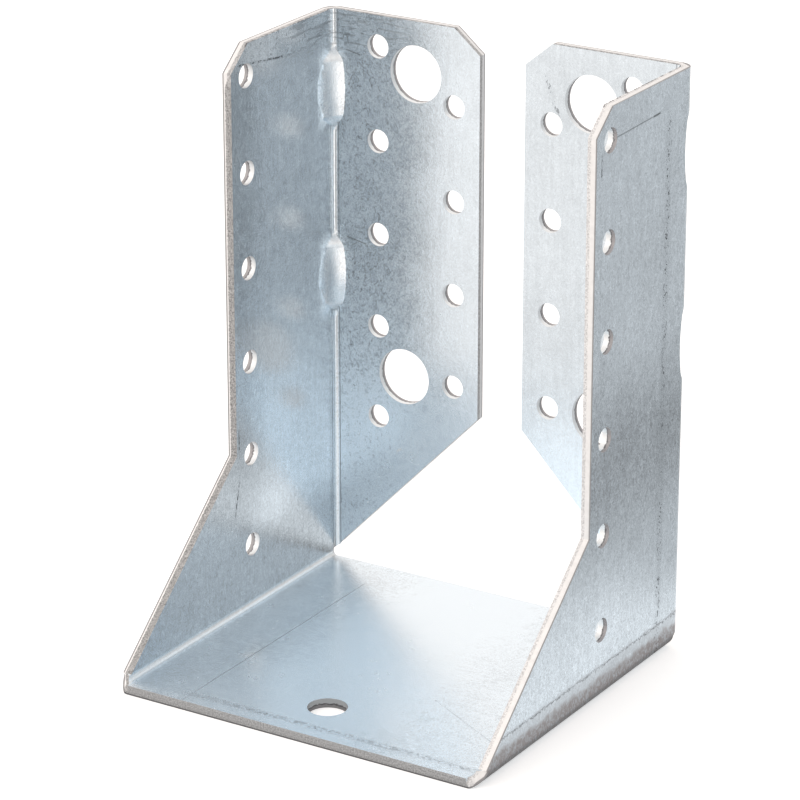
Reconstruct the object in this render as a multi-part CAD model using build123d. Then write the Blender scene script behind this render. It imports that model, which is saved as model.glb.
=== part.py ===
from build123d import *
import os
from math import hypot, sqrt

# A joist hanger with inward flanges, folded from one sheet of hot-dip galvanised steel.
# X runs across the joist, Y from the open front to the flanges at the back, Z up.
# The origin is at the bottom centre of the box that holds the part. Sizes are in millimetres.

# Sheet and overall form
sheet_thickness = 2.0
bend_radius = 1.0
inner_width = 80.0
inner_height = 120.0
depth = 80.0
flange_gap = 10.5

# Outline of a side wall, seen from the side
upper_wall_depth = 39.0
wall_step_height = 36.5
wall_toe_setback = 2.8

# Outline of a flange, seen from the front
flange_low_height = 39.5
flange_toe_height = 4.6

# Clipped top corners of walls and flanges
clip_across = 6.0
clip_down = 5.0

# Nail and bolt holes, with the rows of both faces on one pitch
nail_hole_diameter = 5.0
bolt_hole_diameter = 12.0
seat_hole_diameter = 8.0
hole_pitch = 20.0
top_row_drop = 6.5
wall_rows = 6
wall_hole_edge = 5.25
outer_column_rows = 5
inner_column_rows = 4
inner_column_edge = 6.0
column_spacing = 18.0
upper_bolt_rise = 5.5
upper_bolt_edge = 15.0
lower_bolt_edge = 17.75
seat_hole_setback = 12.5

# Stiffening dents, pressed from outside into each upright bend. Each face of a dent is a spool's,
# narrowest half-way up: it leaves the wall nearly along it, and meets the flange at a crease.
dent_rows = (0, 2)
dent_length = 17.6
dent_bow = 0.4
dent_ramp = 2.6
dent_ramp_blend = 3.0
dent_wall_reach = 6.5
dent_flange_reach = 3.0
dent_inner_radius = 9.4
dent_outer_reach = 3.6
dent_outer_radius = 20.0

# Faces and bend centres that follow from the sizes above
outer_bend_radius = bend_radius + sheet_thickness
inner_x = inner_width / 2
outer_x = inner_x + sheet_thickness
bend_x = inner_x - bend_radius
top_z = sheet_thickness + inner_height
front_y = -depth / 2
back_y = depth / 2
flange_front_y = back_y - sheet_thickness
bend_y = back_y - outer_bend_radius
upper_front_y = back_y - upper_wall_depth
flange_edge_x = flange_gap / 2
flare_margin = sheet_thickness / 10
top_row_z = top_z - top_row_drop
inner_row_z = top_row_z - hole_pitch / 2


def plate(plane, points):
    """A flat plate of the sheet: an outline on a plane, thickened along the plane's normal."""
    outline = make_face(Polyline(*points, close=True))
    return extrude(plane * outline, sheet_thickness)


def quarter_bend(plane, length):
    """A quarter of a bend: its centre line runs from the plane's origin along the plane's normal."""
    ring = Circle(outer_bend_radius) - Circle(bend_radius)
    quarter = Rectangle(outer_bend_radius, outer_bend_radius, align=(Align.MIN, Align.MIN))
    return extrude(plane * (ring & quarter), length)


def seat_plate():
    """The flat seat under the joist, between the two lower bends."""
    corners = [(-bend_x, front_y), (bend_x, front_y), (bend_x, bend_y), (-bend_x, bend_y)]
    return plate(Plane.XY, corners)


def wall_plate():
    """The right side wall: full height at the back, stepped back and slanted at the front."""
    outline = [
        (bend_y, outer_bend_radius),
        (bend_y, top_z),
        (upper_front_y + clip_across, top_z),
        (upper_front_y, top_z - clip_down),
        (upper_front_y, wall_step_height),
        (front_y + wall_toe_setback, outer_bend_radius),
    ]
    return plate(Plane.YZ.offset(inner_x), outline)


def flange_plate():
    """The right flange, turned inward at the back: clipped at the top, slanted at the bottom."""
    outline = [
        (bend_x, flange_toe_height),
        (bend_x, top_z),
        (flange_edge_x + clip_across, top_z),
        (flange_edge_x, top_z - clip_down),
        (flange_edge_x, flange_low_height),
    ]
    return plate(Plane.XZ.offset(-back_y), outline)


def seat_bend():
    """The bend between seat and wall, cut off at the front by the shear line of the wall."""
    start = Plane(origin=(bend_x, bend_y, outer_bend_radius), x_dir=(0, 0, -1), z_dir=(0, -1, 0))
    bend = quarter_bend(start, bend_y - front_y)
    toe = Vector(bend_x, front_y, sheet_thickness / 2)
    heel = Vector(inner_x + sheet_thickness / 2, front_y + wall_toe_setback, outer_bend_radius)
    through = Vector(1, 0, -1)
    shear = Plane(origin=toe, x_dir=heel - toe, z_dir=(heel - toe).cross(through))
    return split(bend, bisect_by=shear, keep=side_of(shear, Vector(bend_x, bend_y, 0)))


def back_bend():
    """The bend between wall and flange, cut off at the bottom by the shear line of the flange."""
    start = Plane(origin=(bend_x, bend_y, 0), x_dir=(1, 0, 0), z_dir=(0, 0, 1))
    bend = quarter_bend(start, top_z)
    toe = Vector(bend_x, back_y - sheet_thickness / 2, flange_toe_height)
    heel = Vector(inner_x + sheet_thickness / 2, bend_y, outer_bend_radius)
    through = Vector(1, 1, 0)
    shear = Plane(origin=toe, x_dir=heel - toe, z_dir=(heel - toe).cross(through))
    return split(bend, bisect_by=shear, keep=side_of(shear, Vector(bend_x, bend_y, top_z)))


def side_of(plane, point):
    """Which side of a plane a point lies on, in the words that split uses."""
    above = (point - plane.origin).dot(plane.z_dir) > 0
    return Keep.TOP if above else Keep.BOTTOM


def spool_centre(corner, wall_reach, flange_reach, radius):
    """In plan, the centre of the circle that meets a corner's wall and flange at given reaches."""
    chord = hypot(wall_reach, flange_reach)
    rise = sqrt(radius**2 - (chord / 2) ** 2)
    inward = (wall_reach * rise / chord, flange_reach * rise / chord)
    return (corner[0] - flange_reach / 2 - inward[0], corner[1] - wall_reach / 2 - inward[1])


def spool(centre, radius, flared):
    """An upright spool round a centre: its radius at the waist, and the flared one at a dent's ends."""
    half = dent_length / 2
    shoulder = half - dent_ramp
    bowed = radius + dent_bow
    waist = ThreePointArc((bowed, -shoulder), (radius, 0), (bowed, shoulder))
    ends = Polyline(
        (bowed, shoulder),
        (flared, half),
        (flared, dent_length),
        (0, dent_length),
        (0, -dent_length),
        (flared, -dent_length),
        (flared, -half),
        (bowed, -shoulder),
    )
    profile = make_face(waist + ends)
    ramp_corners = [v for v in profile.vertices() if v.X > 0 and abs(v.Y) < dent_length - dent_ramp]
    profile = fillet(ramp_corners, dent_ramp_blend)
    return Pos(*centre) * revolve(Plane.XZ * profile, Axis.Z)


def beside_spool(corner, reaches, radius, rounding, middle_z):
    """What lies outside a spool at a rounded corner of the plan, to half a sheet beyond the corner."""
    beyond = sheet_thickness / 2
    centre = spool_centre(corner, *reaches, radius)
    across = hypot(corner[0] - centre[0], corner[1] - centre[1])
    flared = across - rounding * (sqrt(2) - 1) + flare_margin
    size = (corner[0] + beyond - centre[0], corner[1] + beyond - centre[1], dent_length + 2 * dent_ramp)
    middle = (*centre, middle_z)
    block = Pos(*middle) * Box(*size, align=(Align.MIN, Align.MIN, Align.CENTER))
    return block - spool(middle, radius, flared)


def dented(side, middle_z):
    """A side with one dent: its inner corner filled out and its outer corner pressed in."""
    inner_corner = (inner_x, flange_front_y)
    outer_corner = (outer_x, back_y)
    inner_reaches = (dent_wall_reach, dent_flange_reach)
    outer_reaches = (dent_outer_reach, dent_outer_reach)
    inner = beside_spool(inner_corner, inner_reaches, dent_inner_radius, bend_radius, middle_z)
    outer = beside_spool(outer_corner, outer_reaches, dent_outer_radius, outer_bend_radius, middle_z)
    return side + inner - outer


def hole(diameter, axis, centre):
    """A round punch through the sheet at a centre, along a horizontal or upright axis."""
    punch = Plane(origin=centre, z_dir=axis)
    return extrude(punch * Circle(diameter / 2), sheet_thickness, both=True)


def wall_holes():
    """The one column of nail holes near the front edge of the right wall."""
    y = upper_front_y + wall_hole_edge
    rows = [top_row_z - row * hole_pitch for row in range(wall_rows)]
    return [hole(nail_hole_diameter, (1, 0, 0), (inner_x + sheet_thickness / 2, y, z)) for z in rows]


def flange_holes():
    """The two staggered columns of nail holes of the right flange, and its two bolt holes."""
    y = back_y - sheet_thickness / 2
    inner_column_x = flange_edge_x + inner_column_edge
    outer_column_x = inner_column_x + column_spacing
    nails = [(outer_column_x, top_row_z - row * hole_pitch) for row in range(outer_column_rows)]
    nails += [(inner_column_x, inner_row_z - row * hole_pitch) for row in range(inner_column_rows)]
    bolts = [
        (flange_edge_x + upper_bolt_edge, inner_row_z + upper_bolt_rise),
        (flange_edge_x + lower_bolt_edge, inner_row_z - (inner_column_rows - 1) * hole_pitch),
    ]
    punched = [hole(nail_hole_diameter, (0, 1, 0), (x, y, z)) for x, z in nails]
    return punched + [hole(bolt_hole_diameter, (0, 1, 0), (x, y, z)) for x, z in bolts]


def right_side():
    """The right half of the hanger outside the seat plate, with its dents and holes."""
    side = wall_plate() + flange_plate() + seat_bend() + back_bend()
    for row in dent_rows:
        side = dented(side, inner_row_z - row * hole_pitch)
    return side - wall_holes() - flange_holes()


def joist_hanger():
    """The whole folded sheet as one solid."""
    right = right_side()
    seat_hole = hole(seat_hole_diameter, (0, 0, 1), (0, front_y + seat_hole_setback, sheet_thickness / 2))
    return seat_plate() + right + mirror(right, Plane.YZ) - seat_hole


os.makedirs("parts", exist_ok=True)
export_step(joist_hanger(), "parts/joist_hanger.step")
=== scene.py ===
import math
import bmesh
import bpy
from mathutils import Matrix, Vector


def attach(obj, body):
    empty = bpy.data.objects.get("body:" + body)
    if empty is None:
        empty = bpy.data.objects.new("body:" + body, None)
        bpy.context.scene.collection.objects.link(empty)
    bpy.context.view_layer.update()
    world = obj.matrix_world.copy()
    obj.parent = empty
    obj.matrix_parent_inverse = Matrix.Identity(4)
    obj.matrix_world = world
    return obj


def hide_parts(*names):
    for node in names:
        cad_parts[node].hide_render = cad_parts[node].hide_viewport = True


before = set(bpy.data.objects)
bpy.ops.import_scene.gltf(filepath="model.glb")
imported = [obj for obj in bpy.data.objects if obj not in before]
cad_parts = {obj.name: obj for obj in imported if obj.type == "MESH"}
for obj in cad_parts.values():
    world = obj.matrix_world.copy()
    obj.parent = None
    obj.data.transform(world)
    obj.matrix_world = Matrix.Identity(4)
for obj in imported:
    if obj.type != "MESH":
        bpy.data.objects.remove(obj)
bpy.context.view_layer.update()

# Lengths on the part are in millimetres here, and MM turns them into the scene's metres.
# X runs across the joist, Y from the open front to the flanges at the back, Z up.
MM = 0.001

# The folded sheet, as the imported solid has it
INNER_BEND_RADIUS = 1.0
SHEET = 2.0
BEND_X = 39.0
BEND_Y = 37.0
BEND_Z = 3.0
INNER_X = BEND_X + INNER_BEND_RADIUS
OUTER_X = INNER_X + SHEET
FLANGE_FRONT = BEND_Y + INNER_BEND_RADIUS
SEAT_TOP = SHEET
SEAT_FRONT = -40.0
TOP = 122.0

# How near to its plane a point counts as on a face, and how softly that ends
FACE_HALF = 0.3
FACE_SOFT = 0.2

# The dents: their middle heights, half the length of their painted highlight and tilt, and how far they tilt
UPPER_DENT = 105.5
LOWER_DENT = 65.5
DENT_HALF = 8.2
DENT_SOFT = 1.6
DENT_START_Y = 31.6
DENT_TILT = 0.55

# The two ends of each mark: y and z on the walls, x and z on the flanges, x and y on the seat
PRESS_LINE = ((4.8, 115.4), (25.6, 115.9))
PRESS_LINE_END = ((23.0, 115.8), (25.8, 115.9))
FRONT_SCUFF = ((3.0, 113.6), (3.0, 108.6))
LEFT_PRESS_LINE = ((3.9, 118.1), (22.1, 116.0))
UPPER_DASHES = ((1.9, 41.9), (1.9, 36.7))
LOWER_DASHES = ((1.8, 30.7), (0.1, 23.5))
LOWER_DENT_LINE = ((-36.9, 73.8), (-32.2, 72.9))
UPPER_DENT_LINE = ((-36.9, 113.8), (-33.4, 113.1))
FLANGE_SPOT = ((-35.4, 41.1), (-35.2, 41.3))
FLANGE_SCRATCH = ((9.7, 115.5), (13.2, 106.8))
SEAT_LINE = ((-26.0, -40.0), (-26.0, 27.0))
SEAT_SCRATCH = ((16.2, -13.7), (36.4, -24.8))
PALE_SMEAR = ((-27.6, -17.0), (-26.2, -14.2))
PALE_SCRATCH = ((-24.8, 28.5), (-23.6, 29.3))

# How the crystals break a mark up: into dashes, and into dots
BROKEN = (0.46, 0.56)
DOTTED = (0.54, 0.62)

# Colours of the metal
BLACK = (0.0, 0.0, 0.0, 1.0)
LIGHTEST_ZINC = (0.84, 0.93, 1.0, 1.0)
BROWN_ZINC = (0.37, 0.345, 0.345, 1.0)
# Pale wear, and painted highlights on the dents and inner bends
PALE_WEAR_AND_HIGHLIGHT = (0.93, 0.95, 0.96, 1.0)
# Dark marks, and painted dark reflection lines beside the upright bends
DARK_MARK_AND_REFLECTION = (0.10, 0.11, 0.12, 1.0)
SMOOTH_CUT = (0.93, 0.93, 0.93, 1.0)
TORN_CUT = (0.96, 0.96, 0.965, 1.0)
CUT_RIM = (0.10, 0.10, 0.11, 1.0)
SMOOTH_HOLE = (0.84, 0.87, 0.89, 1.0)
TORN_HOLE = (0.46, 0.45, 0.46, 1.0)
HOLE_LINE = (0.12, 0.12, 0.13, 1.0)
METALLIC = 0.9

# A tone of 1 is plain zinc, and the lightest zinc lies a fifth above it
PLAIN_TONE = 0.98
TONE_SCALE = 0.833

# How the sharp edges of the cut sheet are eased
EDGE_EASE = 0.14
EDGE_SEGMENTS = 2
SHARP_ANGLE = 28.0
FLAT_ANGLE = 0.05
WELD = 0.001
EDGE_PROFILE = 0.5

# A face is cut if it spans this much of the sheet, and a group of them goes round a hole
# if its normals cancel to this share of its area
CUT_SPAN = 0.6
ROUND_SHARE = 0.1
OUTLINE_MATERIAL = 1
HOLE_MATERIAL = 2

# The set, in metres
FLOOR_HALF = 4.0
FLOOR_COLOUR = (0.85, 0.85, 0.85, 1)
FLOOR_GLOW = 0.40
NEAR_FLOOR_HALF = 0.2
NEAR_FLOOR_LEVEL = -0.0002
PART_HALF_X = 0.042
PART_HALF_Y = 0.040
# How far the near floor's painted contact shadow reaches
CONTACT_SHADOW_REACH = 0.008
NEAR_FLOOR_FULL = 0.010
NEAR_FLOOR_GONE = 0.050
WHITE = (1, 1, 1, 1)

# The studio's light: its level, how it changes along X, Y and Z, and how much is missing straight overhead
STUDIO_LEVEL = 0.98
STUDIO_ACROSS = -0.32
STUDIO_BACKWARD = -0.090
STUDIO_UPWARD = 0.41
STUDIO_OVERHEAD = 0.55
DIM_LIGHT = (0.97, 0.985, 1.0, 1.0)
BRIGHT_LIGHT = (1.07, 1.0, 0.95, 1.0)

# A card and three flags: their direction, the cosines where they start and where they are full, their strength
FLAG_BEHIND_LEFT = ((-0.49, 0.79, 0.36), 0.86, 0.98, -0.16)
FLAG_BEHIND_RIGHT = ((0.49, 0.79, 0.36), 0.86, 0.98, -0.12)
CARD_LOW_RIGHT = ((0.87, -0.36, -0.34), 0.87, 0.985, 0.95)
FLAG_LOW_FRONT = ((0.42, -0.84, -0.34), 0.90, 0.99, -0.48)

# Camera, fitted to the photograph
CAMERA_AZIMUTH = 31.82
CAMERA_ELEVATION = 20.88
CAMERA_DISTANCE = 758.29
CAMERA_CENTRE = (0.0, -2.0, 60.0)
CAMERA_RIGHT = 0.71
CAMERA_DOWN = 1.94
LENS = 174.8
SENSOR = 36.0


class Graph:
    """Short names for the nodes of one material or world."""

    def __init__(self, tree):
        self.tree = tree
        tree.nodes.clear()

    def node(self, kind, inputs=None, **settings):
        made = self.tree.nodes.new(kind)
        for name, value in settings.items():
            setattr(made, name, value)
        for name, value in (inputs or {}).items():
            self.set(made.inputs[name], value)
        return made

    def set(self, socket, value):
        if isinstance(value, bpy.types.NodeSocket):
            self.tree.links.new(value, socket)
        else:
            socket.default_value = value

    def math(self, operation, a, b=0.0):
        return self.node("ShaderNodeMath", {0: a, 1: b}, operation=operation).outputs[0]

    def add(self, a, b):
        return self.math("ADD", a, b)

    def subtract(self, a, b):
        return self.math("SUBTRACT", a, b)

    def times(self, a, b):
        return self.math("MULTIPLY", a, b)

    def either(self, *masks):
        """The union of masks: the largest of them."""
        joined = masks[0]
        for mask in masks[1:]:
            joined = self.math("MAXIMUM", joined, mask)
        return joined

    def both(self, *masks):
        """The overlap of masks: their product."""
        joined = masks[0]
        for mask in masks[1:]:
            joined = self.times(joined, mask)
        return joined

    def ramp(self, value, start, end, low=0.0, high=1.0):
        """Smoothly from low, where the value is at start, to high, where it is at end."""
        inputs = {"Value": value, "From Min": start, "From Max": end, "To Min": low, "To Max": high}
        return self.node("ShaderNodeMapRange", inputs, interpolation_type="SMOOTHSTEP").outputs["Result"]

    def band(self, value, low, high, soft):
        """1 between low and high, fading over soft at both sides."""
        rise = self.ramp(value, low - soft, low + soft)
        fall = self.ramp(value, high - soft, high + soft, 1.0, 0.0)
        return self.times(rise, fall)

    def near(self, value, place, half=FACE_HALF, soft=FACE_SOFT):
        """1 within half of a place, fading over soft at both sides."""
        return self.band(value, place - half, place + half, soft)

    def swing(self, noise, amount):
        """A noise about its middle value, times an amount."""
        return self.times(self.subtract(noise, 0.5), amount)

    def mix(self, factor, a, b):
        inputs = {"Factor": factor, "A": a, "B": b}
        return self.node("ShaderNodeMix", inputs, data_type="FLOAT").outputs["Result"]

    def blend(self, factor, a, b):
        """A colour between a and b. The factor is kept between 0 and 1."""
        mixed = self.node("ShaderNodeMix", data_type="RGBA")
        self.set(mixed.inputs[0], factor)
        self.set(mixed.inputs[6], a)
        self.set(mixed.inputs[7], b)
        return mixed.outputs[2]

    def stretched(self, vector, factors):
        inputs = {0: vector, 1: factors}
        return self.node("ShaderNodeVectorMath", inputs, operation="MULTIPLY").outputs[0]

    def noise(self, vector, scale, detail=2.0, roughness=0.5, distortion=0.0):
        inputs = {"Vector": vector, "Scale": scale, "Detail": detail}
        inputs.update({"Roughness": roughness, "Distortion": distortion})
        return self.node("ShaderNodeTexNoise", inputs).outputs["Fac"]

    def stroke(self, u, v, start, end, width, soft):
        """A straight mark on a face with the coordinates u and v, from start to end."""
        run = (end[0] - start[0], end[1] - start[1])
        length = math.hypot(*run)
        along = (run[0] / length, run[1] / length)
        du = self.subtract(u, start[0])
        dv = self.subtract(v, start[1])
        ahead = self.add(self.times(du, along[0]), self.times(dv, along[1]))
        aside = self.subtract(self.times(dv, along[0]), self.times(du, along[1]))
        close = self.ramp(self.math("ABSOLUTE", aside), width, width + soft, 1.0, 0.0)
        return self.times(close, self.band(ahead, 0.0, length, soft))

    def finish(self, colour, roughness, height):
        """Ends a material's nodes in its shader. height is in millimetres."""
        bump = self.node("ShaderNodeBump", {"Height": height, "Distance": MM, "Strength": 1.0})
        shader = self.node("ShaderNodeBsdfPrincipled", {"Base Color": colour, "Roughness": roughness})
        self.set(shader.inputs["Normal"], bump.outputs["Normal"])
        shader.inputs["Metallic"].default_value = METALLIC
        self.node("ShaderNodeOutputMaterial", {"Surface": shader.outputs[0]})


def new_graph(name):
    """A new material, its graph, and the place on the part in millimetres, whole and as x, y and z."""
    material = bpy.data.materials.new(name)
    material.use_nodes = True
    graph = Graph(material.node_tree)
    place = graph.node("ShaderNodeTexCoord").outputs["Object"]
    scaled = graph.node("ShaderNodeVectorMath", {0: place, "Scale": 1 / MM}, operation="SCALE").outputs[0]
    parts = graph.node("ShaderNodeSeparateXYZ", {0: scaled}).outputs
    return material, graph, scaled, parts


def face_masks(graph, x, y, z, side):
    """The faces that look different from each other, as masks."""
    above_bend = graph.ramp(z, BEND_Z, BEND_Z + 0.4)
    return {
        "wall_outside": graph.ramp(side, OUTER_X - 1.0, OUTER_X - 0.4),
        "left_inside": graph.both(graph.near(x, -INNER_X), above_bend),
        "flange_front": graph.both(graph.near(y, FLANGE_FRONT), above_bend),
        "seat_top": graph.both(graph.near(z, SEAT_TOP), graph.ramp(side, INNER_X - 0.4, INNER_X - 0.8)),
    }


def crystal_tone(graph, place, x, z, faces, mottle, worms, grain):
    """The zinc's tone with its clouds, crystals, rolling streaks and bright flecks."""
    cloud = graph.noise(place, 0.05, 2.0)
    upright = graph.noise(graph.stretched(place, (1.3, 1.3, 0.07)), 1.0, 2.0)
    across = graph.noise(graph.stretched(place, (0.08, 1.3, 1.3)), 1.0, 2.0)
    streak = graph.mix(faces["seat_top"], upright, across)

    # The crystals stand out beside the left upright bend, and are faint on the rest of the flanges
    beside_bend = graph.both(faces["flange_front"], graph.ramp(x, -14.0, -34.0))
    crystal = graph.add(0.38, graph.times(beside_bend, 0.9))
    calm = graph.both(faces["flange_front"], graph.ramp(x, -22.0, -8.0))
    crystal = graph.subtract(crystal, graph.times(calm, 0.20))
    dull_stretch = graph.both(faces["wall_outside"], graph.band(z, 34.0, 62.0, 10.0))
    crystal = graph.add(crystal, graph.times(faces["wall_outside"], 0.12))
    crystal = graph.add(crystal, graph.times(dull_stretch, 0.08))

    tone = graph.add(PLAIN_TONE, graph.swing(cloud, 0.22))
    tone = graph.add(tone, graph.swing(mottle, 0.20))
    tone = graph.add(tone, graph.swing(worms, graph.times(crystal, 1.6)))
    tone = graph.add(tone, graph.swing(grain, graph.times(crystal, 1.0)))
    tone = graph.add(tone, graph.swing(streak, 0.16))
    # Small bright flecks, thickest where the crystals are coarse
    spots = graph.noise(place, 1.5, 1.0, 0.4)
    fleck = graph.ramp(spots, 0.60, 0.66)
    return graph.add(tone, graph.times(fleck, graph.add(0.05, graph.times(beside_bend, 0.45))))


def painted_light_tone(graph, tone, x, y, z, faces):
    """The tone, with painted light and painted shade on broad stretches of the faces."""
    # Painted shade: the walls' outside is made a little darker, and darker still in a band round its middle
    painted_shade_band = graph.both(faces["wall_outside"], graph.band(z, 38.0, 62.0, 12.0))
    tone = graph.subtract(tone, graph.times(faces["wall_outside"], 0.06))
    tone = graph.subtract(tone, graph.times(painted_shade_band, 0.33))
    # Painted light on the middle of the seat and the flanges' lower ends, painted shade on the left wall's front
    # and foot
    seat_painted_light = graph.both(faces["seat_top"], graph.ramp(x, -28.0, -8.0), graph.ramp(x, 24.0, 2.0))
    flange_painted_light = graph.both(faces["flange_front"], graph.ramp(z, 50.0, 34.0))
    front_or_foot = graph.either(graph.ramp(y, 16.0, 2.0), graph.ramp(z, 24.0, 14.0))
    wall_painted_shade = graph.both(faces["left_inside"], front_or_foot)
    tone = graph.add(tone, graph.times(seat_painted_light, 0.18))
    tone = graph.add(tone, graph.times(flange_painted_light, 0.20))
    tone = graph.subtract(tone, graph.times(wall_painted_shade, 0.27))
    # Painted light on the faces inside the pocket, lighter than the rest
    left_flange = graph.both(faces["flange_front"], graph.ramp(x, 2.0, -2.0))
    pocket_painted_light = graph.add(graph.times(faces["left_inside"], 0.03), graph.times(left_flange, 0.10))
    return graph.add(tone, graph.add(pocket_painted_light, graph.times(faces["seat_top"], 0.13)))


def zinc_faces():
    """The rolled and galvanised faces of the sheet."""
    material, graph, place, (x, y, z) = new_graph("zinc_faces")
    side = graph.math("ABSOLUTE", x)
    faces = face_masks(graph, x, y, z, side)
    mottle = graph.noise(place, 0.35, 3.0, 0.6)
    worms = graph.noise(graph.stretched(place, (1.0, 1.0, 0.7)), 1.15, 2.0, 0.6, 1.6)
    grain = graph.noise(place, 3.0, 2.0, 0.6)
    tone = crystal_tone(graph, place, x, z, faces, mottle, worms, grain)
    # Painted light and painted shade on broad stretches of the faces
    tone = painted_light_tone(graph, tone, x, y, z, faces)
    marks, pale_wear_and_highlights = wear_marks(graph, place, worms, grain, x, y, z, faces)
    brown = rubbed_band(graph, z, faces["wall_outside"], mottle, worms)
    # Painted highlight on the dents' inner faces; their tilt is real bump
    dent_highlight, tilt = dent_highlight_and_tilt(graph, side, y, z)
    # Painted highlights on the inner bends and painted dark reflection lines beside them
    bend_highlight, bend_dark_reflections = painted_bend_reflections(graph, side, y, z)
    # Painted highlights on the dents and inner bends join the pale wear marks
    pale_wear_and_highlights = graph.either(pale_wear_and_highlights, graph.times(dent_highlight, 0.6), graph.times(bend_highlight, 0.6))
    # Painted dark reflection lines beside the upright bends join the dark marks, except on the dents
    marks = graph.either(marks, graph.times(graph.subtract(1.0, dent_highlight), graph.times(bend_dark_reflections, 0.8)))

    colour = graph.blend(graph.times(tone, TONE_SCALE), BLACK, LIGHTEST_ZINC)
    colour = graph.blend(brown, colour, BROWN_ZINC)
    # Pale wear with painted highlights, then dark marks with painted dark reflection lines
    colour = graph.blend(pale_wear_and_highlights, colour, PALE_WEAR_AND_HIGHLIGHT)
    colour = graph.blend(marks, colour, DARK_MARK_AND_REFLECTION)
    # The left wall's inside is the smoothest, and mirrors the flange beside it
    roughness = graph.subtract(0.25, graph.times(faces["left_inside"], 0.06))
    roughness = graph.add(roughness, graph.swing(mottle, 0.12))
    roughness = graph.add(roughness, graph.times(graph.either(marks, brown), 0.25))
    height = graph.add(graph.times(worms, 0.018), graph.times(grain, 0.012))
    graph.finish(colour, roughness, graph.add(height, tilt))
    return material


def dent_highlight_and_tilt(graph, side, y, z):
    """Where the dents' inner faces carry a painted highlight, and the height that turns them to the front."""
    upper = graph.near(z, UPPER_DENT, DENT_HALF, DENT_SOFT)
    lower = graph.near(z, LOWER_DENT, DENT_HALF, DENT_SOFT)
    off_wall = graph.subtract(INNER_X, side)
    in_front = graph.ramp(y, FLANGE_FRONT, FLANGE_FRONT - 0.1)
    face = graph.both(graph.either(upper, lower), in_front, graph.ramp(y, 30.5, 32.0))
    dent_highlight = graph.both(face, graph.ramp(off_wall, 0.0, 0.4))
    slope = graph.ramp(y, DENT_START_Y, FLANGE_FRONT, 0.0, DENT_TILT)
    tilt = graph.both(face, graph.ramp(off_wall, -0.5, -0.3), slope)
    return dent_highlight, tilt


def painted_bend_reflections(graph, side, y, z):
    """Painted highlights on the inner bends, and painted dark reflection lines along both sides of each upright
    one.
    """
    across = graph.both(graph.ramp(side, BEND_X, BEND_X + 0.25), graph.ramp(side, INNER_X + 0.3, INNER_X + 0.1))
    upright = graph.both(across, graph.band(y, BEND_Y + 0.1, FLANGE_FRONT + 0.2, 0.1))
    lower = graph.both(across, graph.band(z, SEAT_TOP - 0.2, BEND_Z - 0.1, 0.1))
    # Painted dark reflection lines just off the bend, on the wall and on the flange
    on_wall = graph.near(side, INNER_X, 0.2, 0.1)
    on_flange = graph.near(y, FLANGE_FRONT, 0.2, 0.1)
    wall_dark_reflection = graph.both(on_wall, graph.band(y, BEND_Y - 0.25, BEND_Y - 0.1, 0.12))
    flange_dark_reflection = graph.both(on_flange, graph.band(side, BEND_X - 0.25, BEND_X - 0.1, 0.12))
    return graph.either(upright, lower), graph.either(wall_dark_reflection, flange_dark_reflection)


def rubbed_band(graph, z, wall_outside, mottle, worms):
    """How brown the walls are along their lower bends, where a cracked edge ends the rubbed zinc."""
    uneven = graph.add(z, graph.swing(mottle, 3.0))
    blotches = graph.ramp(worms, 0.30, 0.60, 0.35, 1.0)
    brown = graph.times(graph.ramp(uneven, 6.6, 4.4), blotches)
    faint = graph.ramp(uneven, 8.3, 7.7, 0.0, 0.22)
    return graph.both(wall_outside, graph.either(brown, faint))


def wall_outside_marks(graph, x, y, z, worms, grain, wall_outside):
    """The right wall's press line and scuffs, and the cracked lower edge that both walls have."""
    line = graph.times(graph.stroke(y, z, *PRESS_LINE, 0.06, 0.14), 0.55)
    line_end = graph.times(graph.stroke(y, z, *PRESS_LINE_END, 0.1, 0.2), 0.8)
    beside_bend = graph.both(graph.band(y, 28.6, 30.6, 0.7), graph.ramp(z, 118.0, 112.0))
    scuffs = graph.both(beside_bend, graph.ramp(worms, *DOTTED), graph.ramp(grain, 0.40, 0.5))
    front_scuff = graph.times(graph.stroke(y, z, *FRONT_SCUFF, 0.1, 0.3), graph.ramp(worms, *BROKEN))
    marks = graph.both(graph.either(line, line_end, scuffs, front_scuff), graph.ramp(x, 0.0, 1.0))
    crack_height = graph.add(7.6, graph.swing(worms, 2.2))
    crack = graph.near(graph.subtract(z, crack_height), 0.0, 0.13, 0.12)
    crack = graph.times(graph.both(crack, graph.ramp(grain, 0.34, 0.46)), 0.8)
    return graph.both(wall_outside, graph.either(marks, crack))


def left_wall_marks(graph, y, z, worms, left_inside):
    """The left wall's dotted press line, smudges above it and dashes by its front edge."""
    broken = graph.ramp(worms, *BROKEN)
    line = graph.times(graph.stroke(y, z, *LEFT_PRESS_LINE, 0.12, 0.2), broken)
    smudge = graph.both(graph.ramp(z, 112.5, 117.0), graph.ramp(worms, *DOTTED), graph.ramp(y, 33.0, 28.0))
    upper = graph.stroke(y, z, *UPPER_DASHES, 0.12, 0.2)
    lower = graph.stroke(y, z, *LOWER_DASHES, 0.12, 0.2)
    dashes = graph.times(graph.either(upper, lower), graph.times(broken, 0.9))
    return graph.both(left_inside, graph.either(line, graph.times(smudge, 0.45), dashes))


def flange_marks(graph, x, z, worms, flange_front):
    """The lines that the press leaves beside each dent, a dark spot and a scratch."""
    lower_line = graph.stroke(x, z, *LOWER_DENT_LINE, 0.08, 0.16)
    upper_line = graph.stroke(x, z, *UPPER_DENT_LINE, 0.08, 0.16)
    spot = graph.stroke(x, z, *FLANGE_SPOT, 0.2, 0.2)
    scratch = graph.times(graph.stroke(x, z, *FLANGE_SCRATCH, 0.25, 0.4), graph.ramp(worms, *DOTTED))
    marks = graph.either(lower_line, upper_line, spot, scratch)
    return graph.both(flange_front, graph.times(marks, 0.6))


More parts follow.
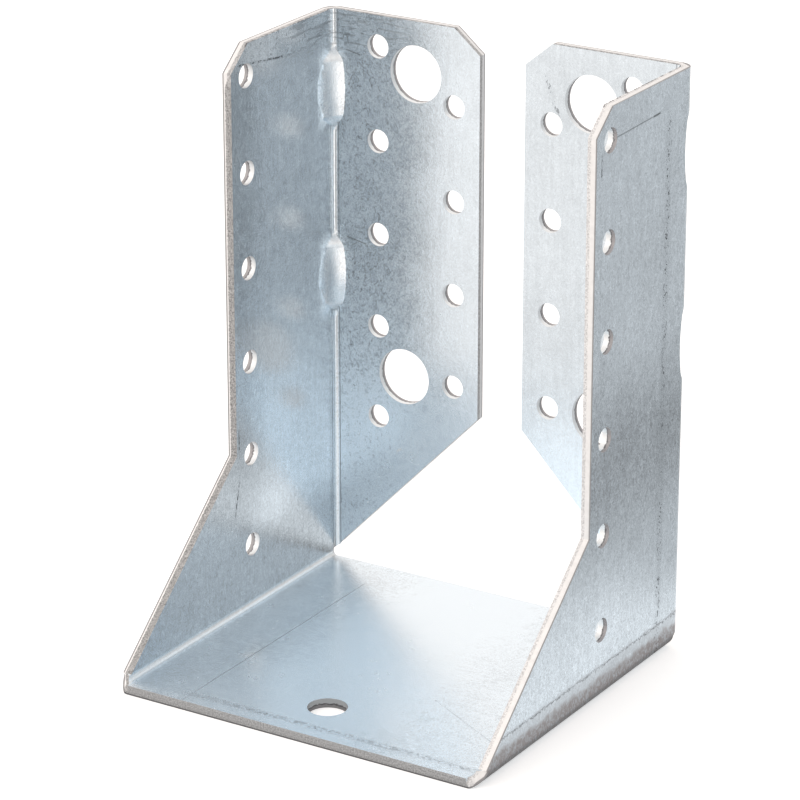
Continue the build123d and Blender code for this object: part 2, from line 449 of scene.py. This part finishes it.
def seat_marks(graph, x, y, worms, grain, seat_top):
    """The seat's long straight line, a fine scratch, and dashes beside its front edge."""
    broken = graph.ramp(worms, *BROKEN)
    line = graph.times(graph.stroke(x, y, *SEAT_LINE, 0.04, 0.12), 0.4)
    scratch = graph.times(graph.both(graph.stroke(x, y, *SEAT_SCRATCH, 0.06, 0.14), broken), 0.4)
    beside_front = graph.both(graph.band(y, -37.2, -35.6, 0.5), graph.ramp(x, -30.0, -24.0))
    rows = graph.both(beside_front, broken, graph.ramp(grain, 0.4, 0.5))
    return graph.both(seat_top, graph.either(line, scratch, graph.times(rows, 0.6)))


def brushed_streaks(graph, place, x, y, z, faces):
    """Fine brushed streaks under the top edge, on both sides of the left upright bend."""
    brush = graph.noise(graph.stretched(place, (0.16, 0.16, 1.5)), 1.0, 2.0, 0.6)
    brushed = graph.both(graph.ramp(brush, 0.52, 0.62), graph.ramp(z, 112.0, 116.0))
    beside_corner = graph.either(
        graph.both(faces["left_inside"], graph.ramp(y, 16.0, 26.0)),
        graph.both(faces["flange_front"], graph.ramp(x, -18.0, -28.0)),
    )
    return graph.times(graph.times(brushed, beside_corner), 0.42)


def wear_marks(graph, place, worms, grain, x, y, z, faces):
    """Two masks: the dark scuffs and scratches, and the pale ones."""
    marks = graph.either(
        wall_outside_marks(graph, x, y, z, worms, grain, faces["wall_outside"]),
        left_wall_marks(graph, y, z, worms, faces["left_inside"]),
        flange_marks(graph, x, z, worms, faces["flange_front"]),
        seat_marks(graph, x, y, worms, grain, faces["seat_top"]),
        brushed_streaks(graph, place, x, y, z, faces),
    )
    smear = graph.both(graph.stroke(x, y, *PALE_SMEAR, 0.4, 1.2), faces["seat_top"])
    scratch = graph.both(graph.stroke(x, z, *PALE_SCRATCH, 0.15, 0.2), faces["flange_front"])
    return marks, graph.either(graph.times(smear, 0.35), scratch)


def cut_edges():
    """The sheared edges of the outline: torn and stippled near the inner face, smooth near the outer."""
    material, graph, place, (x, y, z) = new_graph("cut_edges")
    through = graph.node("ShaderNodeAttribute", attribute_name="through").outputs["Fac"]
    stipple = graph.noise(place, 3.2, 2.0, 0.7)
    wander = graph.noise(place, 0.9, 2.0)
    # The left wall's front edge is torn further through and duller than the right one's
    left_front = graph.both(graph.ramp(x, -BEND_X, -BEND_X - 0.6), graph.ramp(z, TOP - 6.0, TOP - 8.0))
    right_front = graph.ramp(x, BEND_X, BEND_X + 0.6)
    ragged = graph.add(through, graph.swing(stipple, 0.16))
    ragged = graph.subtract(ragged, graph.times(left_front, 0.26))
    ragged = graph.add(ragged, graph.times(right_front, 0.10))
    torn = graph.ramp(ragged, 0.50, 0.40)
    by_front = graph.ramp(y, SEAT_FRONT + 1.4, SEAT_FRONT + 0.6)
    seat_front = graph.both(by_front, graph.ramp(z, SEAT_TOP + 0.6, SEAT_TOP))
    torn = graph.either(torn, graph.times(seat_front, 0.85))
    smooth_tone = graph.add(0.90, graph.swing(wander, 0.2))
    smooth_colour = graph.blend(smooth_tone, BLACK, SMOOTH_CUT)
    torn_tone = graph.ramp(stipple, 0.30, 0.70, 0.36, 0.74)
    torn_tone = graph.add(torn_tone, graph.subtract(graph.times(right_front, 0.22), graph.times(left_front, 0.14)))
    torn_colour = graph.blend(torn_tone, BLACK, TORN_CUT)
    colour = graph.blend(torn, smooth_colour, torn_colour)
    # A dark line stays along the outer rim, and dark spots along the inner rim of the top edges
    rim = graph.times(graph.ramp(through, 0.82, 0.90), 0.75)
    on_top = graph.ramp(z, TOP - 1.0, TOP - 0.4)
    spots = graph.both(on_top, graph.ramp(through, 0.20, 0.08), graph.ramp(wander, 0.44, 0.54))
    colour = graph.blend(graph.either(rim, graph.times(spots, 0.9)), colour, CUT_RIM)
    roughness = graph.mix(torn, 0.32, 0.55)
    graph.finish(colour, roughness, graph.times(stipple, 0.03))
    return material


def hole_walls():
    """The walls of the punched holes: smooth where the punch went in, torn where it came out."""
    material, graph, place, _ = new_graph("hole_walls")
    through = graph.node("ShaderNodeAttribute", attribute_name="through").outputs["Fac"]
    stipple = graph.noise(place, 1.6, 3.0, 0.7)
    ragged = graph.add(through, graph.swing(stipple, 0.5))
    torn = graph.ramp(ragged, 0.52, 0.60)
    colour = graph.blend(torn, SMOOTH_HOLE, TORN_HOLE)
    # A dark line runs where the smooth part ends
    shadow_line = graph.band(ragged, 0.55, 0.66, 0.04)
    colour = graph.blend(graph.times(shadow_line, 0.85), colour, HOLE_LINE)
    roughness = graph.mix(torn, 0.34, 0.55)
    graph.finish(colour, roughness, graph.times(stipple, 0.02))
    return material


def through_sheet(place):
    """How far through the sheet a point lies: 0 on its inner face, 1 on its outer face."""
    x, y, z = place / MM
    out = (max(abs(x) - BEND_X, 0), max(y - BEND_Y, 0), max(BEND_Z - z, 0))
    return min(max((math.hypot(*out) - INNER_BEND_RADIUS) / SHEET, 0), 1)


def cut_groups(mesh):
    """The faces cut through the sheet, in groups that touch."""
    cut = set()
    for face in mesh.faces:
        depths = [through_sheet(vertex.co) for vertex in face.verts]
        if max(depths) - min(depths) > CUT_SPAN:
            cut.add(face)
    groups = []
    while cut:
        group = [cut.pop()]
        for face in group:
            for edge in face.edges:
                for other in edge.link_faces:
                    if other in cut:
                        cut.remove(other)
                        group.append(other)
        groups.append(group)
    return groups


def goes_round(group):
    """Whether a group of cut faces closes on itself, as the wall of a hole does."""
    whole = sum(face.calc_area() for face in group)
    net = sum((face.normal * face.calc_area() for face in group), Vector())
    return net.length < ROUND_SHARE * whole


def folded_sheet():
    """The sheet as it is seen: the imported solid's form, with its sharp edges eased."""
    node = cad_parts["joist_hanger"]
    mesh = bmesh.new()
    mesh.from_mesh(node.data)
    bmesh.ops.remove_doubles(mesh, verts=mesh.verts, dist=WELD * MM)
    bmesh.ops.dissolve_limit(mesh, angle_limit=math.radians(FLAT_ANGLE), verts=mesh.verts, edges=mesh.edges)
    for group in cut_groups(mesh):
        for face in group:
            face.material_index = HOLE_MATERIAL if goes_round(group) else OUTLINE_MATERIAL
    sharp = [edge for edge in mesh.edges if edge.calc_face_angle(0) > math.radians(SHARP_ANGLE)]
    easing = {"offset": EDGE_EASE * MM, "segments": EDGE_SEGMENTS, "profile": EDGE_PROFILE}
    bmesh.ops.bevel(mesh, geom=sharp, affect="EDGES", clamp_overlap=True, material=0, **easing)
    for face in mesh.faces:
        face.smooth = True
    data = bpy.data.meshes.new("folded_sheet")
    mesh.to_mesh(data)
    mesh.free()
    through = data.attributes.new("through", "FLOAT", "POINT")
    for vertex, value in zip(data.vertices, through.data):
        value.value = through_sheet(vertex.co)
    for material in (zinc_faces(), cut_edges(), hole_walls()):
        data.materials.append(material)
    piece = bpy.data.objects.new("folded_sheet", data)
    bpy.context.scene.collection.objects.link(piece)
    normals = piece.modifiers.new("flat_faces", "WEIGHTED_NORMAL")
    normals.weight = 100
    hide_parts("joist_hanger")
    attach(piece, "root")


def square(name, half, level):
    """A flat square about the origin, for the set round the part."""
    data = bpy.data.meshes.new(name)
    corners = [(-half, -half, level), (half, -half, level), (half, half, level), (-half, half, level)]
    data.from_pydata(corners, [], [(0, 1, 2, 3)])
    made = bpy.data.objects.new(name, data)
    bpy.context.scene.collection.objects.link(made)
    return made


def make_floor():
    """A plain pale floor, lit evenly enough to look white round the part."""
    floor = square("floor", FLOOR_HALF, 0.0)
    material = bpy.data.materials.new("floor")
    material.use_nodes = True
    shader = material.node_tree.nodes["Principled BSDF"]
    shader.inputs["Base Color"].default_value = FLOOR_COLOUR
    shader.inputs["Roughness"].default_value = 0.9
    shader.inputs["Specular IOR Level"].default_value = 0.0
    shader.inputs["Emission Color"].default_value = WHITE
    shader.inputs["Emission Strength"].default_value = FLOOR_GLOW
    floor.data.materials.append(material)
    # Reflections see the studio below in its place, darker as the far part of a real set is
    floor.visible_glossy = False


def make_near_floor():
    """The bright floor by the part, as the metal mirrors it: a painted contact shadow darkens it at the contact,
    and it fades out further off.
    """
    near = square("near_floor", NEAR_FLOOR_HALF, NEAR_FLOOR_LEVEL)
    material = bpy.data.materials.new("near_floor")
    material.use_nodes = True
    graph = Graph(material.node_tree)
    place = graph.node("ShaderNodeTexCoord").outputs["Object"]
    x, y, _ = graph.node("ShaderNodeSeparateXYZ", {0: place}).outputs
    out_x = graph.math("MAXIMUM", graph.subtract(graph.math("ABSOLUTE", x), PART_HALF_X), 0.0)
    out_y = graph.math("MAXIMUM", graph.subtract(graph.math("ABSOLUTE", y), PART_HALF_Y), 0.0)
    away = graph.math("SQRT", graph.add(graph.times(out_x, out_x), graph.times(out_y, out_y)))
    # Painted contact shadow: the glow is dimmer near the part's footprint
    level = graph.ramp(away, 0.0, CONTACT_SHADOW_REACH, 0.3, 1.05)
    glow = graph.node("ShaderNodeEmission", {"Color": WHITE, "Strength": level}).outputs[0]
    clear = graph.node("ShaderNodeBsdfTransparent").outputs[0]
    presence = graph.ramp(away, NEAR_FLOOR_GONE, NEAR_FLOOR_FULL)
    shown = graph.node("ShaderNodeMixShader", {0: presence, 1: clear, 2: glow})
    graph.node("ShaderNodeOutputMaterial", {"Surface": shown.outputs[0]})
    near.data.materials.append(material)
    near.visible_camera = False
    near.visible_diffuse = False
    near.visible_shadow = False


def lobe(graph, direction, towards, start, full, strength):
    """Light that a card adds or a flag takes round one direction."""
    inputs = {0: direction, 1: Vector(towards).normalized()}
    facing = graph.node("ShaderNodeVectorMath", inputs, operation="DOT_PRODUCT").outputs["Value"]
    return graph.times(graph.ramp(facing, start, full), strength)


def make_studio():
    """Soft light from all round: brighter from the left and from above, but not straight overhead."""
    world = bpy.data.worlds.new("studio")
    bpy.context.scene.world = world
    world.use_nodes = True
    graph = Graph(world.node_tree)
    direction = graph.node("ShaderNodeTexCoord").outputs["Generated"]
    x, y, z = graph.node("ShaderNodeSeparateXYZ", {0: direction}).outputs
    level = graph.add(STUDIO_LEVEL, graph.times(x, STUDIO_ACROSS))
    level = graph.add(level, graph.times(y, STUDIO_BACKWARD))
    level = graph.add(level, graph.times(z, STUDIO_UPWARD))
    level = graph.subtract(level, graph.ramp(z, 0.55, 1.0, 0.0, STUDIO_OVERHEAD))
    for light in (FLAG_BEHIND_LEFT, FLAG_BEHIND_RIGHT, CARD_LOW_RIGHT, FLAG_LOW_FRONT):
        level = graph.add(level, lobe(graph, direction, *light))
    colour = graph.blend(graph.ramp(level, 0.5, 1.15), DIM_LIGHT, BRIGHT_LIGHT)
    background = graph.node("ShaderNodeBackground", {"Color": colour, "Strength": level})
    graph.node("ShaderNodeOutputWorld", {"Surface": background.outputs[0]})
    bpy.context.scene.view_settings.view_transform = "Standard"


def make_camera():
    """The camera at the photograph's angle, with no shift."""
    azimuth = math.radians(CAMERA_AZIMUTH)
    elevation = math.radians(CAMERA_ELEVATION)
    level = math.cos(elevation)
    ahead = Vector((-math.sin(azimuth) * level, math.cos(azimuth) * level, -math.sin(elevation)))
    right = Vector((math.cos(azimuth), math.sin(azimuth), 0))
    down = ahead.cross(right)
    data = bpy.data.cameras.new("camera")
    data.lens = LENS
    data.sensor_width = SENSOR
    camera = bpy.data.objects.new("camera", data)
    place = Vector(CAMERA_CENTRE) + right * CAMERA_RIGHT + down * CAMERA_DOWN - ahead * CAMERA_DISTANCE
    camera.location = place * MM
    camera.rotation_mode = "QUATERNION"
    camera.rotation_quaternion = ahead.to_track_quat("-Z", "Y")
    bpy.context.scene.collection.objects.link(camera)
    bpy.context.scene.camera = camera


folded_sheet()
make_floor()
make_near_floor()
make_studio()
make_camera()
